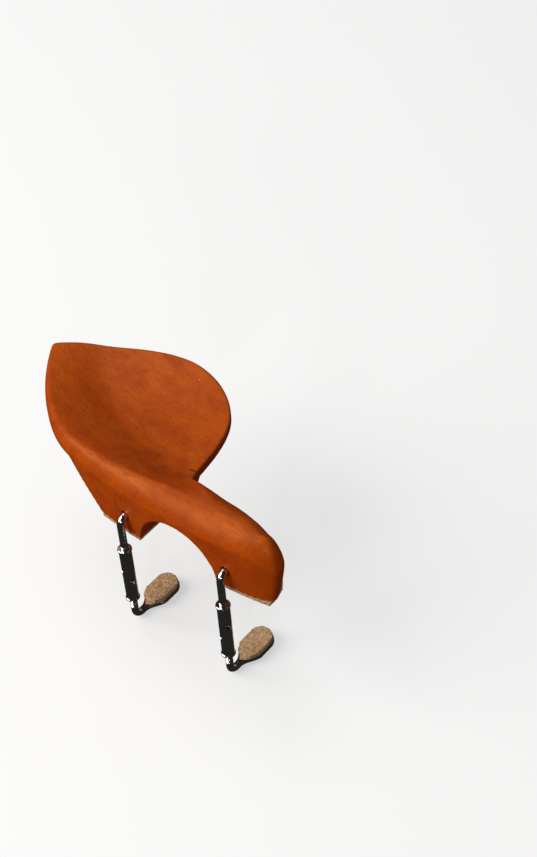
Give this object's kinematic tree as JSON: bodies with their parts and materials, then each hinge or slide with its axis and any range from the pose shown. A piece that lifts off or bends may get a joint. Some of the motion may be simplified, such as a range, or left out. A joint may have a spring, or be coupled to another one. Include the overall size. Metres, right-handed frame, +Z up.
{
  "type": "violin chin rest",
  "caption": "Carved wooden chin rest with a hollowed cup, an arch over the tailpiece, cork feet and turnbuckle clamps that grip the instrument's edge.",
  "frame": {"origin": "on the instrument's centre line, at the outermost edge of its top plate, level with that edge's upper face, where the cork feet rest", "axes": "+X to the treble side, +Y from the end button towards the scroll, +Z up out of the top plate"},
  "size_m": [0.1292, 0.0667, 0.0677],
  "materials": {
    "wood": "satin",
    "cork": "matte",
    "chrome": "polished"
  },
  "bodies": {
    "chin_plate": {"chin_plate": "wood", "left_cork": "cork", "right_cork": "cork", "left_hook": "chrome", "right_hook": "chrome"},
    "left_barrel": {"left_barrel": "chrome"},
    "right_barrel": {"right_barrel": "chrome"},
    "left_bracket": {"left_bracket": "chrome", "left_pad": "cork"},
    "right_bracket": {"right_bracket": "chrome", "right_pad": "cork"}
  },
  "joints": [
    {"name": "left_barrel_turn", "type": "hinge", "parent": "chin_plate", "child": "left_barrel", "pos_m": [-0.0211, -0.0018, -0.018], "axis": [0, 0, 1], "range_deg": [-1440, 1800]},
    {"name": "right_barrel_turn", "type": "hinge", "parent": "chin_plate", "child": "right_barrel", "pos_m": [0.0211, -0.0018, -0.018], "axis": [0, 0, 1], "range_deg": [-1440, 1800]},
    {"name": "left_bracket_travel", "type": "slide", "parent": "chin_plate", "child": "left_bracket", "axis": [0, 0, -1], "range_m": [-0.0041, 0.0051]},
    {"name": "right_bracket_travel", "type": "slide", "parent": "chin_plate", "child": "right_bracket", "axis": [0, 0, -1], "range_m": [-0.0041, 0.0051]}
  ],
  "couplings": [
    {"joint": "left_bracket_travel", "follows": "left_barrel_turn", "m_per_rad": 0.00015915},
    {"joint": "right_bracket_travel", "follows": "right_barrel_turn", "m_per_rad": 0.00015915}
  ]
}
